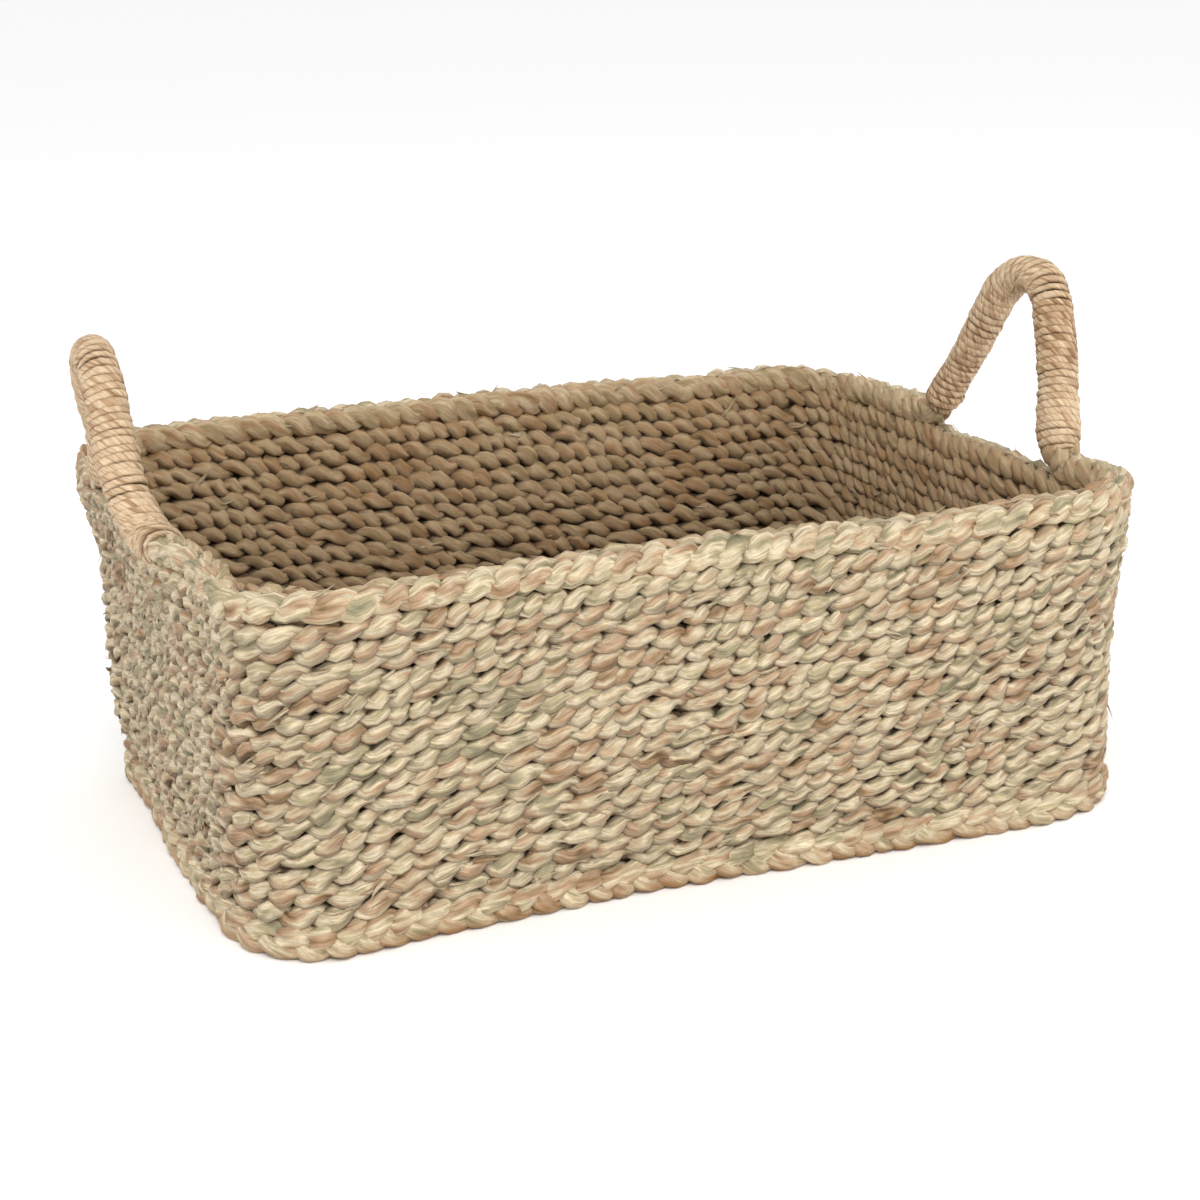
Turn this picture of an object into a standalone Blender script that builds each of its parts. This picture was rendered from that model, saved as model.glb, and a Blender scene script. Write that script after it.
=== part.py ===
"""Seagrass storage basket, an open box coiled from one long three-strand plait.

Metres, +Z up. The origin is the middle of the underside. The long side runs along X, and the two
handles stand on the end walls, at +X and -X. Each turn of the plait is its own solid.
"""
import math

import bpy
import bmesh
from mathutils import Matrix, Vector

# Outer size of the body, at the rim and at the floor
RIM_LENGTH = 0.400
RIM_WIDTH = 0.320
RIM_CORNER = 0.044
FLOOR_LENGTH = 0.395
FLOOR_WIDTH = 0.268
FLOOR_CORNER = 0.042
GAP = 0.0003               # between neighbouring pieces

# The mat of the base: plait courses standing on edge, wound round a folded start
BASE_THICKNESS = 0.0145
BASE_RINGS = 16
BASE_PITCH = FLOOR_WIDTH / 2 / (BASE_RINGS + 1)
INNER_CORNER = 0.011       # corner radius of the innermost ring

# The wall: plait courses lying flat, one on another
WALL_COURSES = 17
WALL_PITCH = 0.0074
WALL_THICKNESS = 0.0145
WALL_START = BASE_THICKNESS + GAP
WALL_TOP = WALL_START + WALL_COURSES * WALL_PITCH
PLAIT_EDGE = 0.0016        # how far a plait's rounded edge stands out from its flat faces

# The rim rope, which leaves the rim at a handle's foot and is the handle's core
ROPE_RADIUS = 0.0058
ROPE_HEIGHT = WALL_TOP + ROPE_RADIUS
ROPE_X = RIM_LENGTH / 2 - WALL_THICKNESS / 2
FOOT_BEND = 0.012          # radius of the rope's bend from rim to leg

# The handles: straight legs to a round top, leaning outward
HANDLE_CENTRE_Y = -0.0275  # of the +X handle; the -X handle is turned half round
HANDLE_HALF_SPAN = 0.0540  # foot to middle
HANDLE_RISE = 0.0655       # centre line, rim to top
HANDLE_TOP_RADIUS = 0.028
HANDLE_LEAN = math.radians(12)
WRAP_INNER = ROPE_RADIUS + GAP
WRAP_OUTER = 0.0090
FOOT_LEVEL = WALL_TOP + 2 * ROPE_RADIUS

# The feet bend about a line along Y at this level, in a small gap that the real rope bridges
HINGE_LEVEL = FOOT_LEVEL + 0.0040
HINGE_GAP = 0.0032

CORNER_STEPS = 4           # chords in a quarter turn of a course
TOP_STEPS = 8              # chords in the round top of a handle
BEND_STEPS = 4
ROPE_SIDES = 2             # bevel resolution of the rope and the wrapping's bore
WRAP_SIDES = 3
BLOCK = 0.6                # size of the cutters that trim rope ends
BLOCK_LOW = 0.1            # lowest and highest level they reach
BLOCK_HIGH = 0.3
HANDLE_SPARE = 0.014       # leg length below the feet, cut away at the hinge
RIM_SPARE = 0.012          # rope length above the foot bend, cut away at the hinge
STRIP_BEVEL = 0.004        # rounding at the ends of the folded start
WELD = 0.00002


def clear_scene():
    for item in list(bpy.data.objects):
        bpy.data.objects.remove(item, do_unlink=True)


def new_collection(name):
    collection = bpy.data.collections.new(name)
    bpy.context.scene.collection.children.link(collection)
    return collection


def make_material(name, color, roughness):
    material = bpy.data.materials.new(name)
    material.use_nodes = True
    shader = material.node_tree.nodes["Principled BSDF"]
    shader.inputs["Base Color"].default_value = (*color, 1.0)
    shader.inputs["Roughness"].default_value = roughness
    shader.inputs["Metallic"].default_value = 0.0
    return material


def rounded_rectangle(half_length, half_width, corner):
    """Points of a centre line, anticlockwise from above, with CORNER_STEPS chords a corner."""
    points = []
    for quarter, (side_x, side_y) in enumerate([(1, 1), (-1, 1), (-1, -1), (1, -1)]):
        centre = Vector((side_x * (half_length - corner), side_y * (half_width - corner)))
        for step in range(CORNER_STEPS + 1):
            angle = math.pi / 2 * (quarter + step / CORNER_STEPS)
            points.append(centre + corner * Vector((math.cos(angle), math.sin(angle))))
    return points


def plait_profile(name, width, height, edge, collection):
    """Section of a plait: two flat faces and two edges that come to a blunt ridge."""
    flat = width / 2 - edge
    outline = [(width / 2, 0), (flat, -height / 2), (-flat, -height / 2),
               (-width / 2, 0), (-flat, height / 2), (flat, height / 2)]
    curve = bpy.data.curves.new(name, "CURVE")
    curve.dimensions = "2D"
    spline = curve.splines.new("POLY")
    spline.points.add(len(outline) - 1)
    for point, (across, up) in zip(spline.points, outline):
        point.co = (across, up, 0, 1)
    spline.use_cyclic_u = True
    guide = bpy.data.objects.new(name, curve)
    guide.hide_render = True
    guide.display_type = "WIRE"
    collection.objects.link(guide)
    return guide


def add_course(name, outline, height, profile, material, collection):
    """One closed turn of plait, at one height, swept along its outline."""
    curve = bpy.data.curves.new(name, "CURVE")
    curve.dimensions = "3D"
    curve.twist_mode = "Z_UP"
    curve.bevel_mode = "OBJECT"
    curve.bevel_object = profile
    spline = curve.splines.new("POLY")
    spline.points.add(len(outline) - 1)
    for point, place in zip(spline.points, outline):
        point.co = (place.x, place.y, 0, 1)
    spline.use_cyclic_u = True
    curve.materials.append(material)
    course = bpy.data.objects.new(name, curve)
    course.location.z = height
    collection.objects.link(course)
    return course


def add_tube(name, path, radius, resolution, collection):
    """A welded mesh tube along a path, with both ends capped."""
    curve = bpy.data.curves.new(name, "CURVE")
    curve.dimensions = "3D"
    curve.bevel_depth = radius
    curve.bevel_resolution = resolution
    curve.use_fill_caps = True
    spline = curve.splines.new("POLY")
    spline.points.add(len(path) - 1)
    for point, place in zip(spline.points, path):
        point.co = (*place, 1)
    source = bpy.data.objects.new(name + "_curve", curve)
    collection.objects.link(source)
    bpy.context.view_layer.update()
    evaluated = source.evaluated_get(bpy.context.evaluated_depsgraph_get())
    mesh = bpy.data.meshes.new_from_object(evaluated)
    mesh.name = name
    bpy.data.objects.remove(source, do_unlink=True)
    shape = bmesh.new()
    shape.from_mesh(mesh)
    bmesh.ops.remove_doubles(shape, verts=shape.verts, dist=WELD)
    bmesh.ops.recalc_face_normals(shape, faces=shape.faces)
    shape.to_mesh(mesh)
    shape.free()
    mesh.shade_smooth()
    mesh.set_sharp_from_angle(angle=math.radians(50))
    tube = bpy.data.objects.new(name, mesh)
    collection.objects.link(tube)
    return tube


def cut(target, cutter, operation):
    boolean = target.modifiers.new(cutter.name, "BOOLEAN")
    boolean.operation = operation
    boolean.object = cutter
    boolean.solver = "EXACT"


def hide_as_cutter(item):
    item.hide_render = True
    item.display_type = "WIRE"


def add_block(name, low_z, high_z, collection):
    """A wide block that keeps what lies between two levels."""
    bpy.ops.mesh.primitive_cube_add(size=1.0)
    block = bpy.context.active_object
    block.name = name
    block.scale = (BLOCK, BLOCK, high_z - low_z)
    block.location.z = (low_z + high_z) / 2
    for holder in list(block.users_collection):
        holder.objects.unlink(block)
    collection.objects.link(block)
    hide_as_cutter(block)
    return block


def handle_shape():
    """Leg angle from the vertical, and height of the top arc's centre above the feet."""
    centre_rise = HANDLE_RISE - HANDLE_TOP_RADIUS
    reach = math.hypot(HANDLE_HALF_SPAN, centre_rise)
    tilt = math.acos(HANDLE_TOP_RADIUS / reach) - math.atan2(centre_rise, HANDLE_HALF_SPAN)
    return tilt, centre_rise


def lean_out(along, rise):
    """A point of the +X handle, from its distance along the wall and its height above the feet."""
    return Vector((ROPE_X + rise * math.tan(HANDLE_LEAN),
                   HANDLE_CENTRE_Y + along, FOOT_LEVEL + rise))


def handle_path():
    """Centre line of the +X handle, from below its near foot to below its far foot."""
    tilt, centre_rise = handle_shape()
    outer = HANDLE_HALF_SPAN + HANDLE_SPARE * math.tan(tilt)
    path = [lean_out(-outer, -HANDLE_SPARE)]
    for step in range(TOP_STEPS + 1):
        angle = math.pi - tilt - (math.pi - 2 * tilt) * step / TOP_STEPS
        path.append(lean_out(HANDLE_TOP_RADIUS * math.cos(angle),
                             centre_rise + HANDLE_TOP_RADIUS * math.sin(angle)))
    path.append(lean_out(outer, -HANDLE_SPARE))
    return path


def foot_bend(side):
    """From the rim's level up into a leg: the near foot (side -1) or the far one (side 1)."""
    tilt, _ = handle_shape()
    turn = math.pi / 2 - tilt
    rise = FOOT_BEND * (1 - math.cos(turn))
    start_rise = ROPE_HEIGHT - FOOT_LEVEL
    leg_along = HANDLE_HALF_SPAN - (start_rise + rise) * math.tan(tilt)
    start_along = leg_along + FOOT_BEND * math.sin(turn)
    points = []
    for step in range(BEND_STEPS + 1):
        angle = turn * step / BEND_STEPS
        along = start_along - FOOT_BEND * math.sin(angle)
        up = start_rise + FOOT_BEND * (1 - math.cos(angle))
        place = lean_out(side * along, up)
        place.x = ROPE_X + max(up, 0.0) * math.tan(HANDLE_LEAN)
        points.append(place)
    top = start_rise + rise + RIM_SPARE
    points.append(lean_out(side * (leg_along - RIM_SPARE * math.tan(tilt)), top))
    return points


def rim_corner(side_x, side_y, reverse):
    half_length = ROPE_X
    half_width = RIM_WIDTH / 2 - WALL_THICKNESS / 2
    radius = RIM_CORNER - WALL_THICKNESS / 2
    points = []
    for step in range(CORNER_STEPS + 1):
        angle = math.pi / 2 * step / CORNER_STEPS
        points.append(Vector((side_x * (half_length - radius + radius * math.cos(angle)),
                              side_y * (half_width - radius + radius * math.sin(angle)),
                              ROPE_HEIGHT)))
    if reverse:
        points.reverse()
    return points


def rim_path():
    """The front rim rope, from the +X handle's near foot to the -X handle's near foot."""
    half_turn = Matrix.Rotation(math.pi, 3, "Z")
    path = list(reversed(foot_bend(-1)))
    path += rim_corner(1, -1, False)
    path += rim_corner(-1, -1, True)
    path += [half_turn @ place for place in foot_bend(1)]
    return path


def turned(item, name, collection):
    """A copy of a piece, turned half round the basket's upright axis, sharing its mesh."""
    copy = bpy.data.objects.new(name, item.data)
    copy.matrix_world = Matrix.Rotation(math.pi, 4, "Z") @ item.matrix_world
    collection.objects.link(copy)
    return copy


def apply_modifiers(item):
    bpy.context.view_layer.update()
    evaluated = item.evaluated_get(bpy.context.evaluated_depsgraph_get())
    mesh = bpy.data.meshes.new_from_object(evaluated)
    item.modifiers.clear()
    item.data = mesh


def add_base(parts, guides, material, edge_material):
    width = BASE_PITCH - GAP
    profile = plait_profile("base_plait_section", width, BASE_THICKNESS,
                            PLAIT_EDGE / 2, guides)
    for ring in range(BASE_RINGS):
        inset = BASE_PITCH * (ring + 0.5)
        share = ring / (BASE_RINGS - 1)
        corner = FLOOR_CORNER + (INNER_CORNER - FLOOR_CORNER) * share - BASE_PITCH / 2
        outline = rounded_rectangle(FLOOR_LENGTH / 2 - inset, FLOOR_WIDTH / 2 - inset, corner)
        name = f"base_course_{ring:02d}" if ring else "base_edge_course"
        add_course(name, outline, BASE_THICKNESS / 2, profile,
                   material if ring else edge_material, parts)
    bpy.ops.mesh.primitive_cube_add(size=1.0)
    strip = bpy.context.active_object
    strip.name = "base_centre_strip"
    length = FLOOR_LENGTH - FLOOR_WIDTH + 2 * BASE_PITCH
    strip.data.transform(Matrix.Diagonal((length - GAP, 2 * BASE_PITCH - GAP, BASE_THICKNESS, 1)))
    strip.location.z = BASE_THICKNESS / 2
    for holder in list(strip.users_collection):
        holder.objects.unlink(strip)
    parts.objects.link(strip)
    bevel = strip.modifiers.new("rounded_ends", "BEVEL")
    bevel.width = STRIP_BEVEL
    bevel.segments = 2
    bevel.affect = "EDGES"
    bevel.limit_method = "WEIGHT"
    weights = strip.data.attributes.new("bevel_weight_edge", "FLOAT", "EDGE")
    for edge in strip.data.edges:
        start, end = (strip.data.vertices[index].co for index in edge.vertices)
        upright = abs(start.z - end.z) > BASE_THICKNESS / 2
        weights.data[edge.index].value = 1.0 if upright else 0.0
    strip.data.materials.append(material)


def add_wall(parts, guides, material):
    profile = plait_profile("wall_plait_section", WALL_THICKNESS, WALL_PITCH - GAP,
                            PLAIT_EDGE, guides)
    for course in range(WALL_COURSES):
        share = (course + 0.5) / WALL_COURSES
        half_length = (FLOOR_LENGTH + (RIM_LENGTH - FLOOR_LENGTH) * share) / 2
        half_width = (FLOOR_WIDTH + (RIM_WIDTH - FLOOR_WIDTH) * share) / 2
        corner = FLOOR_CORNER + (RIM_CORNER - FLOOR_CORNER) * share
        inset = WALL_THICKNESS / 2
        outline = rounded_rectangle(half_length - inset, half_width - inset, corner - inset)
        add_course(f"wall_course_{course + 1:02d}", outline,
                   WALL_START + WALL_PITCH * (course + 0.5), profile, material, parts)


def add_ropes(parts, guides, rope_material, wrap_material):
    low_block = add_block("below_hinge", BLOCK_LOW, HINGE_LEVEL - HINGE_GAP / 2, guides)
    high_block = add_block("above_hinge", HINGE_LEVEL + HINGE_GAP / 2, BLOCK_HIGH, guides)

    front = add_tube("rim_rope_front", rim_path(), ROPE_RADIUS, ROPE_SIDES, parts)
    cut(front, low_block, "INTERSECT")
    apply_modifiers(front)
    front.data.materials.append(rope_material)
    turned(front, "rim_rope_back", parts)

    core = add_tube("handle_core_right", handle_path(), ROPE_RADIUS, ROPE_SIDES, parts)
    cut(core, high_block, "INTERSECT")
    apply_modifiers(core)
    core.data.materials.append(rope_material)

    bore = add_tube("wrap_bore", handle_path(), WRAP_INNER, ROPE_SIDES, guides)
    hide_as_cutter(bore)
    wrap = add_tube("handle_wrap_right", handle_path(), WRAP_OUTER, WRAP_SIDES, parts)
    cut(wrap, bore, "DIFFERENCE")
    cut(wrap, high_block, "INTERSECT")
    apply_modifiers(wrap)
    wrap.data.materials.append(wrap_material)

    hinge = bpy.data.objects.new("handle_right_hinge", None)
    hinge.location = (ROPE_X + (HINGE_LEVEL - FOOT_LEVEL) * math.tan(HANDLE_LEAN),
                      HANDLE_CENTRE_Y, HINGE_LEVEL)
    parts.objects.link(hinge)
    bpy.context.view_layer.update()
    for piece in (core, wrap):
        piece.parent = hinge
        piece.matrix_parent_inverse = hinge.matrix_world.inverted()
    other_hinge = bpy.data.objects.new("handle_left_hinge", None)
    other_hinge.matrix_world = Matrix.Rotation(math.pi, 4, "Z") @ hinge.matrix_world
    parts.objects.link(other_hinge)
    bpy.context.view_layer.update()
    for piece, name in ((core, "handle_core_left"), (wrap, "handle_wrap_left")):
        copy = turned(piece, name, parts)
        world = copy.matrix_world.copy()
        copy.parent = other_hinge
        copy.matrix_parent_inverse = other_hinge.matrix_world.inverted()
        copy.matrix_world = world


def main():
    clear_scene()
    parts = new_collection("seagrass_storage_basket")
    guides = new_collection("guides_and_cutters")
    straw = make_material("dried_seagrass", (0.52, 0.41, 0.26), 0.62)
    brown = make_material("browned_seagrass", (0.36, 0.24, 0.13), 0.66)
    rope = make_material("seagrass_rope", (0.40, 0.30, 0.18), 0.66)
    cord = make_material("wrapping_cord", (0.60, 0.42, 0.25), 0.6)
    add_base(parts, guides, straw, brown)
    add_wall(parts, guides, straw)
    add_ropes(parts, guides, rope, cord)


main()
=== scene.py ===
import math

import bpy
import numpy as np
from mathutils import Matrix, Vector


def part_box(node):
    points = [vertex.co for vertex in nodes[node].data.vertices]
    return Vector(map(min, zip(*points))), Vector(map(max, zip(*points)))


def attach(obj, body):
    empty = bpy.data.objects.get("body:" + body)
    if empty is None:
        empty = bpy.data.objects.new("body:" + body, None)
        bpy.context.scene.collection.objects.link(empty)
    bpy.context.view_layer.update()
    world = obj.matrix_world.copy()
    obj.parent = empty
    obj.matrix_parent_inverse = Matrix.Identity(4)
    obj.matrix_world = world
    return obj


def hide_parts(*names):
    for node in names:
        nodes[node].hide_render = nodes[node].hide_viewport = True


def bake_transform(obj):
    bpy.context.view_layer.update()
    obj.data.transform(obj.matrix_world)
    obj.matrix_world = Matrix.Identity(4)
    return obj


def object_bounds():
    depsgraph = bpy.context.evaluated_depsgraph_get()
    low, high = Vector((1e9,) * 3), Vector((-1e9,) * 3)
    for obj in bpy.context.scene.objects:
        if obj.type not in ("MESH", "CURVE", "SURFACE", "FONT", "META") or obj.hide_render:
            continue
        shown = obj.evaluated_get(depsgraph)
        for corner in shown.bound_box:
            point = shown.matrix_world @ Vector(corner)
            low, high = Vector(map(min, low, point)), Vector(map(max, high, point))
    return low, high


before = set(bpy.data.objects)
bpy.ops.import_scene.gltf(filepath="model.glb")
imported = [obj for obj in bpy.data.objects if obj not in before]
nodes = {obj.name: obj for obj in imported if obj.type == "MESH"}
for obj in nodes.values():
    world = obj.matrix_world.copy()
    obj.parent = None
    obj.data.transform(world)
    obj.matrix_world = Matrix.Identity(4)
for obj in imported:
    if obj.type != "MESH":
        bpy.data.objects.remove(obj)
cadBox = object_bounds()
print("frame loaded:", len(nodes), "nodes")

mm = 0.001
fullTurn = 2 * math.pi


def linearColour(hexCode):
    channels = [int(hexCode[i:i + 2], 16) / 255 for i in (1, 3, 5)]
    return [c / 12.92 if c <= 0.04045 else ((c + 0.055) / 1.055) ** 2.4 for c in channels] + [1.0]


def unit(vectors):
    return vectors / np.maximum(np.linalg.norm(vectors, axis=-1, keepdims=True), 1e-12)


def smoothStep(low, high, value):
    t = np.clip((value - low) / (high - low), 0, 1)
    return t * t * (3 - 2 * t)


# Periodic noise along a run: a few sine waves whose lengths lie round the one asked for
def wander(run, total, wavelength, dice, waves=5, spread=0.45, size=0.7):
    result = np.zeros_like(run)
    for length in wavelength * np.exp(dice.uniform(-spread, spread, waves)):
        turns = max(1, round(total / length))
        result += np.sin(fullTurn * (turns * run / total + dice.uniform()))
    return result / math.sqrt(waves / 2) * size


# The hand-made unevenness of the whole basket: slow waves, and places that bulge
unevenness = {
    "seed": 11,
    "waves": 9,
    "wavelengthRange": (0.08, 0.24),
    "sideways": 1.5 * mm,        # how far the walls wander in and out
    "upAndDown": 1.2 * mm,
    "share": 0.8,                # of these, once the waves are added up
    "steadyBelow": 30 * mm,      # nearer the floor than this, the heights settle
    "pressed": 1.2 * mm,         # the floor flattens whatever would reach below it
    "bulges": [                  # centre, reach along each axis, and push, in mm
        ((-198, 105, 142), (70, 85, 40), (-7.0, 0, 0)),
        ((-198, -25, 160), (60, 75, 55), (-8.0, 0, 0)),
        ((-205, 27, 178), (70, 105, 80), (-5.2, 0, 0)),
        ((-198, 110, 8), (60, 90, 42), (5.5, 0, 0)),
        ((-198, -25, 5), (50, 70, 40), (1.5, 0, 0)),
        ((196, -135, 138), (45, 45, 45), (1.0, -1.0, 1.0)),
        ((196, -100, 12), (60, 75, 85), (7.5, 0, 0)),
        ((193, -50, 150), (40, 100, 48), (-4.5, 0, 2.5)),
        ((193, 24, 150), (45, 90, 40), (0, 0, 5.5)),
        ((-20, 158, 150), (260, 50, 45), (0, 0, 3.0)),
        ((160, 150, 150), (65, 50, 45), (0, 0, 2.0)),
        ((-150, -132, 5), (125, 50, 30), (-0.5, -7.0, 0)),
        ((-175, -132, 5), (80, 60, 35), (0, -4.0, 0)),
        ((70, -132, 5), (70, 50, 30), (0, 3.0, 0)),
    ],
}


def makeUneven(points):
    dice = np.random.default_rng(unevenness["seed"])
    shift = np.zeros_like(points)
    for _ in range(unevenness["waves"]):
        length = dice.uniform(*unevenness["wavelengthRange"])
        direction = unit(dice.normal(size=3))
        phase = dice.uniform(0, fullTurn)
        wave = np.sin(points @ direction * fullTurn / length + phase)
        push = unit(dice.normal(size=3)) * (unevenness["sideways"], unevenness["sideways"],
                                            unevenness["upAndDown"])
        shift += wave[:, None] * push
    shift *= unevenness["share"]
    for centre, reach, push in unevenness["bulges"]:
        away = np.linalg.norm((points / mm - centre) / reach, axis=1)
        shift += smoothStep(1, 0, away)[:, None] * np.array(push) * mm
    shift[:, 2] *= smoothStep(0.0, unevenness["steadyBelow"], points[:, 2])
    moved = points + shift
    pressed = unevenness["pressed"]
    low = moved[:, 2] < pressed
    moved[low, 2] = pressed * np.exp(moved[low, 2] / pressed - 1)
    return moved


# Leaves laid side by side round a strand, with a crease between each two
bundle = {"leaves": 5, "meanCrease": 0.64, "unequal": 0.4}


def leafBundle(leafAngle, depth, lump, seed):
    crease = np.abs(np.cos(bundle["leaves"] / 2 * leafAngle)) - bundle["meanCrease"]
    unequal = bundle["unequal"] * depth * np.cos(3 * leafAngle + seed * 9)
    return 1 + depth * crease + unequal + lump[:, None] * np.cos(leafAngle + seed * 5)


# Leaves of one bunch share a tone, so the colour drifts over patches of a hand's width
patches = {"seed": 23, "waves": 8, "lengthRange": (0.035, 0.11), "flatten": (0.7, 0.7, 1.4)}


def harvestPatch(points):
    dice = np.random.default_rng(patches["seed"])
    total = np.zeros(len(points))
    for _ in range(patches["waves"]):
        direction = unit(dice.normal(size=3)) * patches["flatten"]
        length = dice.uniform(*patches["lengthRange"])
        total += np.sin(points @ direction * fullTurn / length + dice.uniform(0, fullTurn))
    return total / math.sqrt(patches["waves"] / 2)


# Collects swept strands and turns them into one mesh
class StrandBuilder:
    def __init__(self):
        self.points, self.faces, self.runs, self.tones, self.count = [], [], [], [], 0

    def addSweep(self, centres, sideways, width, thickness, ring, closed, tone, run,
                 twist=0.0, creaseDepth=0.0, lump=0.0, along=None, endTaper=0, blunt=0.82):
        n = len(centres)
        if along is None and closed:
            along = np.roll(centres, -1, 0) - np.roll(centres, 1, 0)
        elif along is None:
            along = np.gradient(centres, axis=0)
        along = unit(along)
        across = unit(sideways - (sideways * along).sum(1, keepdims=True) * along)
        upward = np.cross(along, across)
        angle = np.arange(ring) / ring * fullTurn
        leafAngle = angle[None, :] - np.broadcast_to(twist, n)[:, None]
        swell = leafBundle(leafAngle, creaseDepth, np.broadcast_to(lump, n), run[0])
        if endTaper:
            ends = np.minimum(np.arange(n), np.arange(n)[::-1]) / endTaper
            swell = swell * np.clip(0.02 + ends, 0, 1)[:, None] ** 0.5
        half = np.stack([np.broadcast_to(width, n), np.broadcast_to(thickness, n)], 1) / 2
        cosine = np.sign(np.cos(angle)) * np.abs(np.cos(angle)) ** blunt
        sine = np.sign(np.sin(angle)) * np.abs(np.sin(angle)) ** blunt
        ringPoints = (centres[:, None, :]
                      + across[:, None, :] * (half[:, 0, None] * cosine * swell)[..., None]
                      + upward[:, None, :] * (half[:, 1, None] * sine * swell)[..., None])
        first = self.count
        self.points.append(ringPoints.reshape(-1, 3))
        rows = np.arange(n if closed else n - 1)
        i, j = np.meshgrid(rows, np.arange(ring), indexing="ij")
        i2, j2 = (i + 1) % n, (j + 1) % ring
        quads = np.stack([i * ring + j, i * ring + j2, i2 * ring + j2, i2 * ring + j], -1)
        self.faces.append(quads.reshape(-1, 4) + first)
        if not closed:
            for row, order in ((0, slice(None, None, -1)), (n - 1, slice(None))):
                self.faces.append((np.arange(ring)[order] + row * ring + first)[None, :])
        runs = np.stack([np.repeat(run, ring), np.cos(leafAngle).ravel(),
                         np.sin(leafAngle).ravel()], 1)
        self.runs.append(runs)
        self.tones.append(np.broadcast_to(tone, (n, ring, 3)).reshape(-1, 3)
                          if np.ndim(tone) < 3 else tone.reshape(-1, 3))
        self.count += n * ring
        return ringPoints

    def join(self, other):
        self.points += other.points
        self.faces += [faces + self.count for faces in other.faces]
        self.runs += other.runs
        self.tones += other.tones
        self.count += other.count

    def build(self, name, material):
        straight = np.concatenate(self.points)
        points = makeUneven(straight)
        mesh = bpy.data.meshes.new(name)
        quads = [f for f in self.faces if f.shape[1] == 4]
        caps = [f for f in self.faces if f.shape[1] != 4]
        corners = [f.ravel() for f in quads + caps]
        sizes = [np.full(len(f), f.shape[1]) for f in quads + caps]
        corners, sizes = np.concatenate(corners), np.concatenate(sizes)
        mesh.vertices.add(len(points))
        mesh.vertices.foreach_set("co", points.astype(np.float32).ravel())
        mesh.loops.add(len(corners))
        mesh.loops.foreach_set("vertex_index", corners.astype(np.int32))
        mesh.polygons.add(len(sizes))
        starts = np.concatenate([[0], np.cumsum(sizes)[:-1]])
        mesh.polygons.foreach_set("loop_start", starts.astype(np.int32))
        mesh.polygons.foreach_set("loop_total", sizes.astype(np.int32))
        mesh.update(calc_edges=True)
        for label, values in (("leafRun", self.runs), ("leafTone", self.tones)):
            layer = mesh.attributes.new(label, "FLOAT_VECTOR", "POINT")
            layer.data.foreach_set("vector", np.concatenate(values).astype(np.float32).ravel())
        layer = mesh.attributes.new("leafPatch", "FLOAT", "POINT")
        layer.data.foreach_set("value", harvestPatch(straight).astype(np.float32))
        mesh.shade_smooth()
        mesh.materials.append(material)
        piece = bpy.data.objects.new(name, mesh)
        bpy.context.scene.collection.objects.link(piece)
        return piece


# One node, its settings, and each input set to a value or linked from a socket. An input is
# called by its label, or by its number as in i0.
def addNode(tree, kind, settings=None, **inputs):
    node = tree.nodes.new("ShaderNode" + kind)
    for label, value in (settings or {}).items():
        setattr(node, label, value)
    for label, value in inputs.items():
        socket = node.inputs[int(label[1:])] if label[0] == "i" and label[1:].isdigit() \
            else node.inputs[label.replace("_", " ")]
        if isinstance(value, bpy.types.NodeSocket):
            tree.links.new(value, socket)
        else:
            socket.default_value = value
    return node


def fillRamp(ramp, stops):
    while len(ramp.elements) > 1:
        ramp.elements.remove(ramp.elements[-1])
    for index, (place, hexCode) in enumerate(stops):
        element = ramp.elements[0] if index == 0 else ramp.elements.new(place)
        element.position = place
        element.color = linearColour(hexCode)


# Dried seagrass: split leaves, air dried and plaited by hand. It gives the eye a matte, faintly
# waxy straw colour that changes from leaf to leaf, with fine lengthwise fibre lines.
driedSeagrass = {
    "leafColours": [(0.00, "#6c5132"), (0.13, "#957853"), (0.28, "#b59577"), (0.43, "#c2ae8c"),
                    (0.57, "#d9c9ab"), (0.70, "#b8a883"), (0.84, "#9c9374"), (1.00, "#81795b")],
    # inside the basket: a browner leaf tone, with painted shade as less light reaches the inside
    "insideColour": "#9a784e",
    # painted shade down between the strands
    "creviceShadeColour": "#3a2916",
    # how far one leaf shows before the next replaces it; fibre lines; stains and split places
    "leaves": {"length": 15 * mm, "around": 0.75, "detail": 2.0, "rough": 0.6},
    "fibres": {"length": 11 * mm, "around": 11.0, "detail": 3.0, "rough": 0.62},
    "flecks": {"length": 3.6 * mm, "around": 2.3, "detail": 4.0, "rough": 0.7},
    "patchShift": 0.022,
    "streak": (0.68, 1.22),
    "stain": (1.05, 0.74),
    "insideShadeAndBrowning": 0.62,            # the most of the inside colour that shows
    "roughness": (0.52, 0.78),
    "ior": 1.45,
    "fibreDepth": 0.7 * mm,
}

# Browned seagrass: the same leaf where the lowest turn rubs on the floor.
brownedSeagrass = dict(driedSeagrass, insideColour="#8c6231")

# Wrapping cord: paper-thin split leaf wound tight by hand, lighter, warmer and smoother.
wrappingCord = {
    "leafColours": [(0.00, "#8c6844"), (0.25, "#b79471"), (0.45, "#ceb290"), (0.62, "#ddc4a2"),
                    (0.80, "#c0a27e"), (1.00, "#a0825e")],
    "insideColour": "#a58660",
    # painted shade where the turns meet
    "creviceShadeColour": "#65492c",
    "leaves": {"length": 24 * mm, "around": 0.8, "detail": 2.0, "rough": 0.6},
    "fibres": {"length": 12 * mm, "around": 7.0, "detail": 3.0, "rough": 0.62},
    "flecks": {"length": 2.6 * mm, "around": 2.0, "detail": 4.0, "rough": 0.7},
    "patchShift": 0.05,
    "streak": (0.70, 1.20),
    "stain": (1.05, 0.80),
    "insideShadeAndBrowning": 0.62,
    "roughness": (0.50, 0.74),
    "ior": 1.45,
    "fibreDepth": 0.5 * mm,
}


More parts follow.
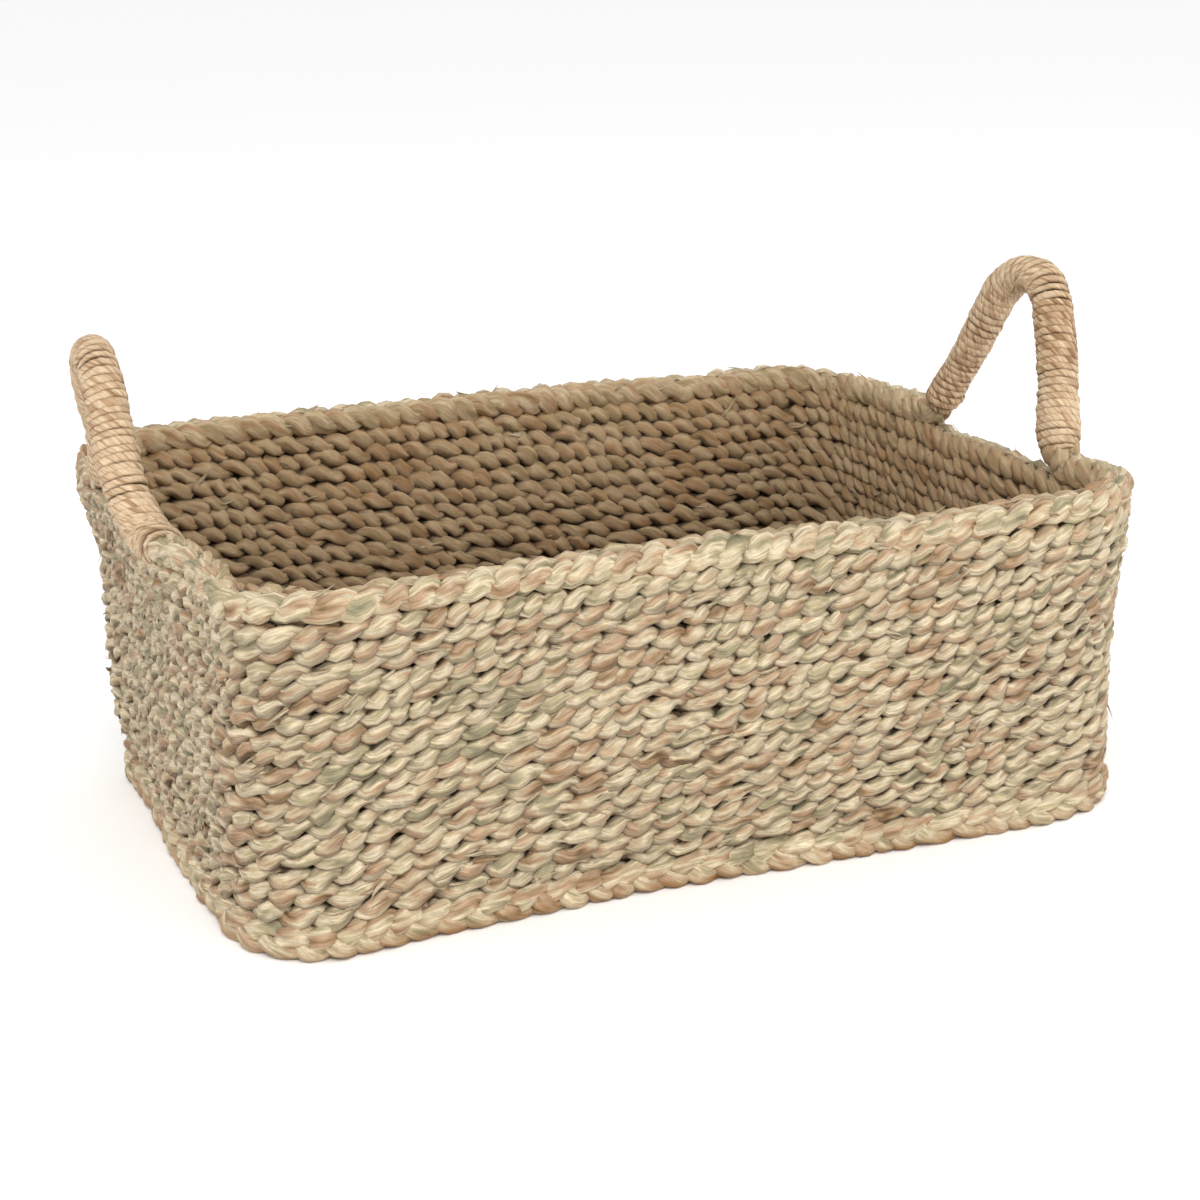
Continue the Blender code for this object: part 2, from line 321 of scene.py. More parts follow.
def makeLeafMaterial(name, look):
    material = bpy.data.materials.new(name)
    material.use_nodes = True
    tree = material.node_tree
    tree.nodes.clear()
    output = addNode(tree, "OutputMaterial")
    runs = addNode(tree, "Attribute", {"attribute_name": "leafRun"}).outputs["Vector"]
    tones = addNode(tree, "Attribute", {"attribute_name": "leafTone"}).outputs["Vector"]
    patch = addNode(tree, "Attribute", {"attribute_name": "leafPatch"}).outputs["Fac"]
    run = addNode(tree, "SeparateXYZ", Vector=runs)
    tone = addNode(tree, "SeparateXYZ", Vector=tones)

    # Noises laid along the strand: which leaf is on top, its fibres, its flecks. Each strand
    # reads them from its own place.
    leafSeed = addNode(tree, "Math", {"operation": "MULTIPLY"}, i0=tone.outputs[0], i1=97.0)
    noises = {}
    for pattern in ("leaves", "fibres", "flecks"):
        laid = look[pattern]
        along = addNode(tree, "Math", {"operation": "MULTIPLY_ADD"}, i0=run.outputs[0],
                        i1=1 / laid["length"], i2=leafSeed.outputs[0])
        around = [addNode(tree, "Math", {"operation": "MULTIPLY"}, i0=run.outputs[k],
                          i1=laid["around"]).outputs[0] for k in (1, 2)]
        place = addNode(tree, "CombineXYZ", X=along.outputs[0], Y=around[0], Z=around[1])
        noises[pattern] = addNode(tree, "TexNoise", {"noise_dimensions": "3D"},
                                  Vector=place.outputs[0], Scale=1.0, Detail=laid["detail"],
                                  Roughness=laid["rough"]).outputs[0]

    leafDrift = addNode(tree, "Math", {"operation": "MULTIPLY_ADD"}, i0=patch,
                        i1=look["patchShift"], i2=noises["leaves"])
    leafSpread = addNode(tree, "MapRange", {"clamp": True}, Value=leafDrift.outputs[0],
                         From_Min=0.26, From_Max=0.74)
    leafColour = addNode(tree, "ValToRGB", Fac=leafSpread.outputs[0])
    fillRamp(leafColour.color_ramp, look["leafColours"])
    streak = addNode(tree, "MapRange", {"clamp": True}, Value=noises["fibres"],
                     From_Min=0.3, From_Max=0.7, To_Min=look["streak"][0],
                     To_Max=look["streak"][1])
    stain = addNode(tree, "MapRange", {"clamp": True}, Value=noises["flecks"],
                    From_Min=0.42, From_Max=0.66, To_Min=look["stain"][0],
                    To_Max=look["stain"][1])
    shade = addNode(tree, "Math", {"operation": "MULTIPLY"}, i0=streak.outputs[0],
                    i1=stain.outputs[0])
    streaked = addNode(tree, "VectorMath", {"operation": "SCALE"},
                       i0=leafColour.outputs[0], Scale=shade.outputs[0])

    # Browner where the floor browns the leaf; on the inside a browner leaf with painted shade
    # where less light falls; painted shade down between the strands
    insideShare = addNode(tree, "Math", {"operation": "MULTIPLY"}, i0=tone.outputs[1],
                          i1=look["insideShadeAndBrowning"])
    inner = addNode(tree, "Mix", {"data_type": "RGBA", "blend_type": "MIX"},
                    Factor=insideShare.outputs[0], i6=streaked.outputs[0],
                    i7=linearColour(look["insideColour"]))
    # painted shade down between the strands, from the tone's third number
    creviceShade = addNode(tree, "Mix", {"data_type": "RGBA", "blend_type": "MIX"},
                      Factor=tone.outputs[2], i6=inner.outputs[2],
                      i7=linearColour(look["creviceShadeColour"]))
    rough = addNode(tree, "MapRange", {"clamp": True}, Value=noises["fibres"],
                    From_Min=0.3, From_Max=0.7, To_Min=look["roughness"][1],
                    To_Max=look["roughness"][0])
    # fibres stand up, flecks and splits sink in
    relief = addNode(tree, "Math", {"operation": "MULTIPLY_ADD"}, i0=noises["flecks"],
                     i1=-0.8, i2=noises["fibres"])
    bump = addNode(tree, "Bump", Height=relief.outputs[0], Strength=0.75,
                   Distance=look["fibreDepth"])
    shader = addNode(tree, "BsdfPrincipled", Base_Color=creviceShade.outputs[2],
                     Roughness=rough.outputs[0], Normal=bump.outputs[0], IOR=look["ior"])
    tree.links.new(shader.outputs[0], output.inputs["Surface"])
    return material


seagrassLeaf = makeLeafMaterial("driedSeagrassLeaf", driedSeagrass)
edgeLeaf = makeLeafMaterial("brownedSeagrassLeaf", brownedSeagrass)
cordLeaf = makeLeafMaterial("wrappingCordLeaf", wrappingCord)
print("materials made")


# A rounded rectangle from its half sizes, sampled evenly, anticlockwise from above.
# Returns points, outward directions and the distance run.
def rectangleRun(halfLength, halfWidth, corner, height, spacing):
    straightX, straightY = 2 * (halfLength - corner), 2 * (halfWidth - corner)
    arc = corner * math.pi / 2
    total = 2 * (straightX + straightY) + 4 * arc
    count = int(round(total / spacing))
    run = np.arange(count) / count * total
    points, outward = np.zeros((count, 3)), np.zeros((count, 3))
    points[:, 2] = height
    legs = [("y", 1, straightY), ("arc", (1, 1), arc), ("x", -1, straightX), ("arc", (-1, 1), arc),
            ("y", -1, straightY), ("arc", (-1, -1), arc), ("x", 1, straightX),
            ("arc", (1, -1), arc)]
    start, quarter = 0.0, 0
    for kind, way, length in legs:
        here = (run >= start) & (run < start + length)
        along = run[here] - start
        if kind == "arc":
            angle = quarter * math.pi / 2 + along / corner
            facing = np.stack([np.cos(angle), np.sin(angle)], 1)
            centre = np.array([way[0] * (halfLength - corner), way[1] * (halfWidth - corner)])
            points[here, :2] = centre + corner * facing
            outward[here, :2] = facing
            quarter += 1
        elif kind == "y":
            points[here, 0] = way * halfLength
            points[here, 1] = way * (along - length / 2)
            outward[here, 0] = way
        else:
            points[here, 0] = way * (along - length / 2)
            points[here, 1] = -way * halfWidth
            outward[here, 1] = -way
        start += length
    return points, outward, run, total


# The lengths over which hand work varies, and how much a strand varies in every plait
handWork = {
    "drift": 90 * mm, "row": 70 * mm, "swing": 30 * mm, "reach": 17 * mm, "lift": 24 * mm,
    "width": 15 * mm, "lump": 8 * mm,
    "unevenLift": 0.22, "lumpSize": 0.06,
    # the core's tone is mostly painted shade, standing in for the dark gaps between strands
    "fillShadeTone": (0.5, 0.5, 0.85),    # as the tones below: own number, inside, between strands
}


# Each strand swings from edge to edge of the plait once a period, and rises and dips twice.
def plaitStrands(builder, points, outward, upward, run, total, plait, dice, toneOf,
                 stretch=1.0):
    periods = max(1, round(total / plait["period"]))
    drift = wander(run, total, handWork["drift"], dice) * plait["unevenPhase"]
    base = fullTurn * periods * run / total + dice.uniform(0, fullTurn) + drift
    rowRise = plait["rowWander"] * wander(run, total, handWork["row"], dice)
    row = points + upward * rowRise[:, None]
    count, ring = len(run), plait["ring"]
    for strand in range(3):
        seed = dice.uniform()
        swing = (base + strand * fullTurn / 3
                 + plait["unevenSwing"] * wander(run, total, handWork["swing"], dice))
        reach = plait["reach"] * (
            1 + plait["unevenReach"] * wander(run, total, handWork["reach"], dice))
        lift = plait["lift"] * (
            1 + handWork["unevenLift"] * wander(run, total, handWork["lift"], dice))
        fatness = 1 + plait["unevenWidth"] * wander(run, total, handWork["width"], dice)
        side = reach * np.sin(swing)
        rise = -lift * np.sin(2 * swing) * stretch
        plump = 1 + plait["edgeSwell"] * (np.sin(swing) ** 2 - 0.35)
        centres = row + outward * side[:, None] + upward * rise[:, None]
        twist = fullTurn * (round(total / plait["twist"]) * run / total + seed)
        lump = handWork["lumpSize"] * wander(run, total, handWork["lump"], dice)
        builder.addSweep(centres, outward, plait["width"] * fatness,
                         plait["thickness"] * fatness * stretch * plump, ring, True,
                         toneOf(side, rise, seed, count, ring, plait), run + seed, twist,
                         plait["creaseDepth"], lump)
    # a dark core that fills the plait's middle and closes the gaps between the strands; its colour
    # is mostly painted crevice shade
    fill = plait["fill"]
    tone = np.broadcast_to(handWork["fillShadeTone"], (count, fill["ring"], 3))
    builder.addSweep(row, outward, fill["width"], fill["thickness"] * stretch, fill["ring"], True,
                     tone, run)


# Tone of a wall strand: its own number, how far inside it faces, and painted shade deep between
# strands, on their undersides and low down inside
wallShade = {
    # painted shade deep between the strands
    "creviceShade": 0.95, "creviceFrom": 0.82, "creviceTo": 0.42,  # towards the plait's middle
    "openTop": 0.8,              # the last course has none above it to shade it
    # painted shade on the strands' undersides, stronger inside
    "underside": 0.52, "undersideInside": 0.30,
    # painted shade that darkens the inside towards the floor
    "lowInsideShade": 0.44,                # low down inside
}


def wallTone(side, rise, seed, count, ring, plait):
    angle = np.arange(ring) / ring * fullTurn
    across = side[:, None] + plait["width"] / 2 * np.cos(angle)[None, :]
    edge = plait["reach"] + plait["width"] / 2
    inside = smoothStep(0.15, -0.35, across / edge)
    # painted shade deep between the strands, less on the open top course's upper side
    paintedShade = wallShade["creviceShade"] * smoothStep(
        wallShade["creviceFrom"], wallShade["creviceTo"], np.abs(across) / edge)
    topSide = smoothStep(0.1, -0.6, np.sin(angle))[None, :]
    paintedShade = paintedShade * (1 - wallShade["openTop"] * plait["open"] * topSide)
    # painted shade on each strand's underside, and low down inside
    paintedShadeBelow = ((wallShade["underside"] + wallShade["undersideInside"] * inside)
              * smoothStep(-0.15, 0.95, np.sin(angle))[None, :])
    paintedShadeBelow = paintedShadeBelow + wallShade["lowInsideShade"] * inside * (1 - plait["share"])
    return np.stack([np.full((count, ring), seed), inside, np.maximum(paintedShade, paintedShadeBelow)], -1)


wallPlait = {
    "periodLow": 40 * mm, "periodHigh": 29 * mm,  # the plait gets finer towards the rim
    "spacing": 2.0 * mm, "ring": 18,
    "reach": 4.0 * mm, "lift": 2.0 * mm,        # half the swing across, half the rise
    "width": 6.6 * mm, "thickness": 6.2 * mm, "edgeSwell": 0.34,
    "twist": 110 * mm, "creaseDepth": 0.22,
    "unevenPhase": 0.7, "unevenSwing": 0.16, "unevenWidth": 0.13, "unevenReach": 0.09,
    "rowWander": 0.5 * mm,
    "fill": {"width": 7.4 * mm, "thickness": 7.4 * mm, "ring": 8},
    "cornerLow": 42 * mm, "cornerHigh": 44 * mm,
    "courses": [name for name in sorted(nodes) if name.startswith("wall_course")],
}


def buildWall():
    for index, name in enumerate(wallPlait["courses"]):
        low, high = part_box(name)
        dice = np.random.default_rng(100 + index)
        share = (index + 0.5) / len(wallPlait["courses"])
        edge = wallPlait["reach"] + wallPlait["width"] / 2
        corner = wallPlait["cornerLow"] + share * (wallPlait["cornerHigh"]
                                                  - wallPlait["cornerLow"]) - edge
        points, outward, run, total = rectangleRun(
            (high.x - low.x) / 2 - edge, (high.y - low.y) / 2 - edge, corner,
            (low.z + high.z) / 2, wallPlait["spacing"])
        upward = np.zeros_like(points)
        upward[:, 2] = 1
        period = wallPlait["periodLow"] + share * (wallPlait["periodHigh"]
                                                  - wallPlait["periodLow"])
        plait = dict(wallPlait, period=period * dice.uniform(0.92, 1.08), share=share,
                     open=float(index == len(wallPlait["courses"]) - 1))
        builder = StrandBuilder()
        plaitStrands(builder, points, outward, upward, run, total, plait, dice, wallTone)
        piece = builder.build(name.replace("wall_course", "wallPlait"), seagrassLeaf)
        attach(piece, "basket")
        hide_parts(name)


buildWall()
print("wall plaited")


# Its plaits stand on edge, so the outermost shows its flat face, a row of chevrons.
basePlait = {
    "period": 40 * mm, "spacing": 3.0 * mm, "ring": 8,
    "reach": 4.7 * mm, "lift": 1.5 * mm,
    "width": 5.2 * mm, "thickness": 5.8 * mm, "edgeSwell": 0.30,
    "twist": 110 * mm, "creaseDepth": 0.10,
    "unevenPhase": 0.5, "unevenSwing": 0.08, "unevenWidth": 0.10, "unevenReach": 0.05,
    "rowWander": 0.2 * mm,
    "fill": {"width": 8.0 * mm, "thickness": 8.2 * mm, "ring": 6},
    "cornerOuter": 42 * mm, "cornerInner": 11 * mm,
    "cornerStretch": 0.30,       # the turns lie further apart across the corners
    "courses": [name for name in sorted(nodes) if name.startswith("base_course")],
}

edgePlait = dict(
    basePlait, period=36 * mm, spacing=2.0 * mm, ring=18, lift=1.9 * mm, width=8.2 * mm,
    thickness=7.4 * mm, reach=4.2 * mm, creaseDepth=0.20, edgeSwell=0.1, unevenPhase=0.5,
    unevenWidth=0.10, unevenReach=0.06, rowWander=0.3 * mm,
    fill={"width": 11.5 * mm, "thickness": 4.6 * mm, "ring": 8})


def baseTone(side, rise, seed, count, ring, plait):
    angle = np.arange(ring) / ring * fullTurn
    height = side[:, None] + plait["width"] / 2 * np.cos(angle)[None, :]
    edge = plait["reach"] + plait["width"] / 2
    inside = 0.35 + 0.45 * smoothStep(-0.2, 0.4, height / edge)
    # painted shade towards the plait's middle
    paintedShade = 0.85 * smoothStep(0.80, 0.42, np.abs(height) / edge)
    return np.stack([np.full((count, ring), seed), inside, paintedShade], -1)


# The floor browns the lower half of the edge course, more in some places than in others; painted
# shade darkens it between the strands
edgeShade = {"browned": 1.3, "evenly": 0.8, "patchy": 0.4, "patches": 11, "between": 0.8}


def edgeTone(side, rise, seed, count, ring, plait):
    angle = np.arange(ring) / ring * fullTurn
    height = side[:, None] + plait["width"] / 2 * np.cos(angle)[None, :]
    outward = -rise[:, None] + plait["thickness"] / 2 * np.sin(angle)[None, :]
    wave = np.sin(fullTurn * edgeShade["patches"] * np.arange(count) / count + 6 * seed)
    patchy = edgeShade["evenly"] + edgeShade["patchy"] * wave
    edge = plait["reach"] + plait["width"] / 2
    browned = edgeShade["browned"] * patchy[:, None] * smoothStep(-0.05, -0.80, height / edge)
    depth = outward / (plait["lift"] + plait["thickness"] / 2)
    # painted shade, deeper into the plait
    paintedShade = edgeShade["between"] * smoothStep(0.25, -0.5, depth) * np.ones_like(browned)
    return np.stack([np.full((count, ring), seed), browned, paintedShade], -1)


def addBaseRing(builder, name, plait, share, dice, toneOf):
    low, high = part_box(name)
    pitch = (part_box("base_centre_strip")[1].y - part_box("base_centre_strip")[0].y) / 2
    corner = plait["cornerOuter"] + share * (plait["cornerInner"] - plait["cornerOuter"])
    points, radial, run, total = rectangleRun(
        (high.x - low.x - pitch) / 2, (high.y - low.y - pitch) / 2, corner - pitch / 2,
        (low.z + high.z) / 2, plait["spacing"])
    upward = np.zeros_like(points)
    upward[:, 2] = 1
    diagonal = 2 * np.abs(radial[:, 0] * radial[:, 1]) * min(1.0, share * 4)
    plaitStrands(builder, points, upward, -radial, run, total, plait, dice, toneOf,
                 stretch=1 + plait["cornerStretch"] * diagonal)


def buildBase():
    courses = basePlait["courses"]
    edge = StrandBuilder()
    addBaseRing(edge, "base_edge_course", edgePlait, 0.0, np.random.default_rng(200), edgeTone)
    piece = edge.build("baseEdgePlait", edgeLeaf)
    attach(piece, "basket")
    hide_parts("base_edge_course")
    half = len(courses) // 2 - 2
    for label, group in (("baseMatOuter", courses[:half]), ("baseMatInner", courses[half:])):
        mat = StrandBuilder()
        for name in group:
            number = courses.index(name) + 1
            addBaseRing(mat, name, basePlait, number / len(courses),
                        np.random.default_rng(200 + number), baseTone)
        replaced = list(group)
        if label == "baseMatInner":
            low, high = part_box("base_centre_strip")
            fold = (high.y - low.y) / 4
            points, radial, run, total = rectangleRun(
                (high.x - low.x) / 2 - fold, fold * 1.02, fold, (low.z + high.z) / 2,
                basePlait["spacing"])
            upward = np.zeros_like(points)
            upward[:, 2] = 1
            plaitStrands(mat, points, upward, -radial, run, total, basePlait,
                         np.random.default_rng(240), baseTone)
            replaced.append("base_centre_strip")
        piece = mat.build(label, seagrassLeaf)
        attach(piece, "basket")
        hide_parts(*replaced)


buildBase()
print("base mat plaited")


# One rope lies on the rim, rises at each foot as the core of a handle, and goes on round.
rope = {
    "radius": 5.8 * mm, "spacing": 2.0 * mm,
    "footBend": 12 * mm,
    "period": 31 * mm, "ring": 16,
    "reach": 3.8 * mm, "lift": 2.0 * mm, "width": 7.0 * mm, "thickness": 9.0 * mm,
    "coreReach": 2.4 * mm, "coreWidth": 6.4 * mm,     # the plait draws in under the wrapping
    "twist": 110 * mm, "creaseDepth": 0.25, "unevenWidth": 0.16,
    "unevenPhase": 0.5, "unevenSwing": 0.14,
    "fill": {"width": 7.8 * mm, "thickness": 9.0 * mm, "coreWidth": 7.0 * mm, "ring": 8},
    "smoothing": 7,              # samples, an odd number
    "narrowFrom": 1 * mm, "narrowTo": 10 * mm,        # above the foot
    "footwear": 0.9,             # browned by use where it leaves the rim
    "offRim": 0.4 * mm, "widthWave": 18 * mm, "coreFlatness": 0.9,
}

handle = {
    "nearSpan": {1: 53.5 * mm, -1: 53 * mm}, "farSpan": {1: 45.5 * mm, -1: 54 * mm},
    "topRadius": {1: 21.5 * mm, -1: 24 * mm},           # right and left
    "lean": {1: math.radians(10.5), -1: math.radians(11.0)},
    "sag": {1: -4.6 * mm, -1: 3.4 * mm},              # the left one has been pressed lower
    "cordOutside": 9.0 * mm, "wrapRadius": 8.7 * mm,  # the CAD wrap, and the cord's own ridges
    "footSwell": 0.9 * mm, "footReach": 42 * mm,      # the wrapping thickens towards the feet
    "bendFrom": -5 * mm, "bendTo": 9 * mm,            # about the hinge, where the rope gives
}

ropeLow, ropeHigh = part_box("rim_rope_front")
wrapLow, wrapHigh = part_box("handle_wrap_right")
ropeLevel = ropeLow.z + rope["radius"]
footLevel = ropeLow.z + 2 * rope["radius"]
handleY = (wrapLow.y + wrapHigh.y) / 2
handleRise = wrapHigh.z - handle["cordOutside"] - footLevel
ropeX, ropeHalfWidth = ropeHigh.x - rope["radius"], -ropeLow.y - rope["radius"]
ropeCorner = wallPlait["cornerHigh"] - (cadBox[1].y - ropeHalfWidth)


# One leg of a handle, from the middle of its top to the rim: distances along and up
def legShape(way, span):
    centreRise = handleRise - handle["sag"][way] - handle["topRadius"][way]
    reach = math.hypot(span, centreRise)
    tilt = math.acos(handle["topRadius"][way] / reach) - math.atan2(centreRise, span)
    turn = math.pi / 2 - tilt
    startRise = ropeLevel - footLevel
    bendRise = rope["footBend"] * (1 - math.cos(turn))
    bendAlong = (span - (startRise + bendRise) * math.tan(tilt)
                 + rope["footBend"] * math.sin(turn))
    shape = [(handle["topRadius"][way] * math.cos(angle),
              centreRise + handle["topRadius"][way] * math.sin(angle))
             for angle in np.linspace(math.pi / 2, tilt, 12)]
    shape += [(bendAlong - rope["footBend"] * math.sin(angle),
               startRise + rope["footBend"] * (1 - math.cos(angle)))
              for angle in np.linspace(turn, 0, 8)]
    return shape


# Half the loop, anticlockwise: down the leg of one handle, along the rim, up the other's leg
def halfRope(back):
    def leg(way):
        span = handle["farSpan" if back > 0 else "nearSpan"][way]
        return [(way * (ropeX + max(up, 0) * math.tan(handle["lean"][way])),
                 way * handleY + back * along, footLevel + up)
                for along, up in legShape(way, span)]

    rim = []
    for way, first in ((1, 0.0), (-1, math.pi / 2)):
        for angle in np.linspace(first, first + math.pi / 2, 14):
            rim.append((way * (ropeX - ropeCorner) + ropeCorner * math.cos(angle),
                        back * (ropeHalfWidth - ropeCorner + ropeCorner * math.sin(angle)),
                        ropeLevel))
    half = leg(1) + rim + leg(-1)[::-1]
    return np.array(half[:-1] if back > 0 else half[:0:-1])


# The whole loop, evenly spaced and smoothed, with outward and upward directions
def ropeLoop():
    loop = np.concatenate([halfRope(1), halfRope(-1)])
    closed = np.concatenate([loop, loop[:1]])
    steps = np.concatenate([[0], np.cumsum(np.linalg.norm(np.diff(closed, axis=0), axis=1))])
    total = steps[-1]
    run = np.arange(round(total / rope["spacing"])) / round(total / rope["spacing"]) * total
    points = np.stack([np.interp(run, steps, closed[:, k]) for k in range(3)], 1)
    facing = points.copy()
    for axis, reach in ((0, ropeX), (1, ropeHalfWidth)):
        facing[:, axis] = np.sign(points[:, axis]) * np.clip(
            np.abs(points[:, axis]) - reach + ropeCorner, 0, ropeCorner)
    facing[:, 2] = 0
    kernel = np.hanning(rope["smoothing"] + 2)[1:-1]
    kernel /= kernel.sum()

    def smooth(values):
        reach = len(kernel) // 2
        wrapped = np.concatenate([values[-reach:], values, values[:reach]])
        return np.stack([np.convolve(wrapped[:, k], kernel, "valid") for k in range(3)], 1)

    points = smooth(points)
    along = unit(np.roll(points, -1, 0) - np.roll(points, 1, 0))
    outward = unit(smooth(unit(facing)))
    outward = unit(outward - (outward * along).sum(1, keepdims=True) * along)
    return points, along, outward, np.cross(outward, along), run, total


def ropeTone(side, rise, seed, count, ring, plait):
    angle = np.arange(ring) / ring * fullTurn
    across = side[:, None] + plait["width"] / 2 * np.cos(angle)[None, :]
    up = rise[:, None] - plait["thickness"] / 2 * np.sin(angle)[None, :]
    inside = smoothStep(0.2, -0.6, across / (plait["reach"] + plait["width"] / 2))
    far = np.hypot(across / (plait["reach"] + plait["width"] / 2),
                   up / (plait["lift"] + plait["thickness"] / 2))
    # painted shade towards the plait's middle
    paintedShade = 0.8 * smoothStep(0.75, 0.4, far)
    return np.stack([np.full((count, ring), seed), inside * 0.75, paintedShade], -1)


def buildRope():
    points, _, outward, upward, run, total = ropePath
    onHandle = points[:, 2] > ropeLevel + rope["offRim"]
    narrow = smoothStep(footLevel + rope["narrowFrom"], footLevel + rope["narrowTo"],
                        points[:, 2])
    footwear = rope["footwear"] * smoothStep(ropeLevel, footLevel - 1 * mm, points[:, 2])
    dice = np.random.default_rng(300)
    periods = round(total / rope["period"])
    base = (fullTurn * periods * run / total
            + wander(run, total, handWork["drift"], dice) * rope["unevenPhase"])
    # roll the loop so that it starts on the front rim, and no piece wraps round the array's end
    start = int(np.argmin(np.linalg.norm(points - (0, ropeLow.y, ropeLevel), axis=1)))
    order = (np.arange(len(run)) + start) % len(run)
    flags = onHandle[order]
    changes = [0] + [int(i) + 1 for i in np.flatnonzero(flags[1:] != flags[:-1])] + [len(run)]
    names = ["ropeFrontA", "ropeCoreRight", "ropeBack", "ropeCoreLeft", "ropeFrontB"]
    builders = {name: StrandBuilder() for name in names}

    def addPieces(centres, width, thickness, ring, tone, shift, twist, creaseDepth, lump):
        direction = np.roll(centres, -1, 0) - np.roll(centres, 1, 0)
        for name, first, last in zip(names, changes[:-1], changes[1:]):
            rows = order[first:min(last + 1, len(run))]
            rows = np.append(rows, order[0]) if last == len(run) else rows
            builders[name].addSweep(centres[rows], outward[rows], width[rows], thickness[rows],
                                    ring, False, tone[rows], run[rows] + shift, twist[rows],
                                    creaseDepth, lump[rows], along=direction[rows])

    for strand in range(3):
        seed = dice.uniform()
        swing = (base + strand * fullTurn / 3
                 + rope["unevenSwing"] * wander(run, total, handWork["swing"], dice))
        fatness = 1 + rope["unevenWidth"] * wander(run, total, rope["widthWave"], dice)
        reach = rope["reach"] + (rope["coreReach"] - rope["reach"]) * narrow
        width = (rope["width"] + (rope["coreWidth"] - rope["width"]) * narrow) * fatness
        coreThickness = rope["coreWidth"] * rope["coreFlatness"]
        thickness = (rope["thickness"] + (coreThickness - rope["thickness"]) * narrow) * fatness
        side, rise = reach * np.sin(swing), -rope["lift"] * np.sin(2 * swing)
        centres = points + outward * side[:, None] + upward * rise[:, None]
        twist = fullTurn * (round(total / rope["twist"]) * run / total + seed)
        tone = ropeTone(side, rise, seed, len(run), rope["ring"], rope)
        tone[..., 1] = np.maximum(tone[..., 1], footwear[:, None])
        addPieces(centres, width, thickness, rope["ring"], tone, seed, twist,
                  rope["creaseDepth"],
                  handWork["lumpSize"] * wander(run, total, handWork["lump"], dice))
    fill = rope["fill"]
    tone = np.broadcast_to(handWork["fillShadeTone"], (len(run), fill["ring"], 3))
    addPieces(points, fill["width"] + (fill["coreWidth"] - fill["width"]) * narrow,
              fill["thickness"] + (fill["coreWidth"] - fill["thickness"]) * narrow,
              fill["ring"], tone, 0.0, 0 * run, 0.0, 0 * run)
    builders["ropeFrontA"].join(builders.pop("ropeFrontB"))
    builders["ropeFront"] = builders.pop("ropeFrontA")
    for name, node, body in (("ropeFront", "rim_rope_front", "basket"),
                             ("ropeBack", "rim_rope_back", "basket"),
                             ("ropeCoreRight", "handle_core_right", "handle_right"),
                             ("ropeCoreLeft", "handle_core_left", "handle_left")):
        piece = builders[name].build(name, seagrassLeaf)
        if body == "basket":
            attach(piece, body)
        else:
            bendAtFeet(piece)
        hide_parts(node)


# A handle piece has its placement baked into its mesh
def bendAtFeet(piece):
    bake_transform(piece)


ropePath = ropeLoop()
buildRope()
print("rope laid")


# The cord wound tight round each handle, turn against turn
wrapping = {
    "pitch": 3.4 * mm, "samplesPerTurn": 76, "ring": 12,
    "width": 4.2 * mm, "thickness": 2.8 * mm,
    "startAboveFoot": {1: -1.6 * mm, -1: -4.6 * mm},
    "alongRim": {1: (0, 0), -1: (0, 10)},        # further rope samples bound at each end
    "slip": 0.065,               # of a turn
    "unevenRadius": 0.20 * mm, "sway": 0.22 * mm, "unevenWidth": 0.16, "lumpSize": 0.05,
    # painted shade where a flank meets the next turn
    "flankShade": 0.65, "flankFrom": 0.66,       # dark only where a flank meets the next turn
    "creaseDepth": 0.16, "twist": 13 * mm,       # a soft two-way twisted cord
    "tuck": 2.8 * mm, "tuckLength": 7 * mm,      # the ends draw in against the rope
}


# Smooth chance values along a length, a fresh one every `step`
def chance(length, step, dice):
    knots = dice.normal(size=int(length[-1] / step) + 3)
    place = length / step
    low = place.astype(int)
    share = place - low
    share = share * share * (3 - 2 * share)
    return knots[low] * (1 - share) + knots[low + 1] * share


def handleSpan(way, startLevel):
    points = ropePath[0]
    here = np.flatnonzero((points[:, 2] > startLevel) & (points[:, 0] * way > 0))
    if here[-1] - here[0] >= len(here):      # the handle straddles the array's end
        gap = int(np.argmax(np.diff(here))) + 1
        here = np.concatenate([here[gap:], here[:gap]])
    return here


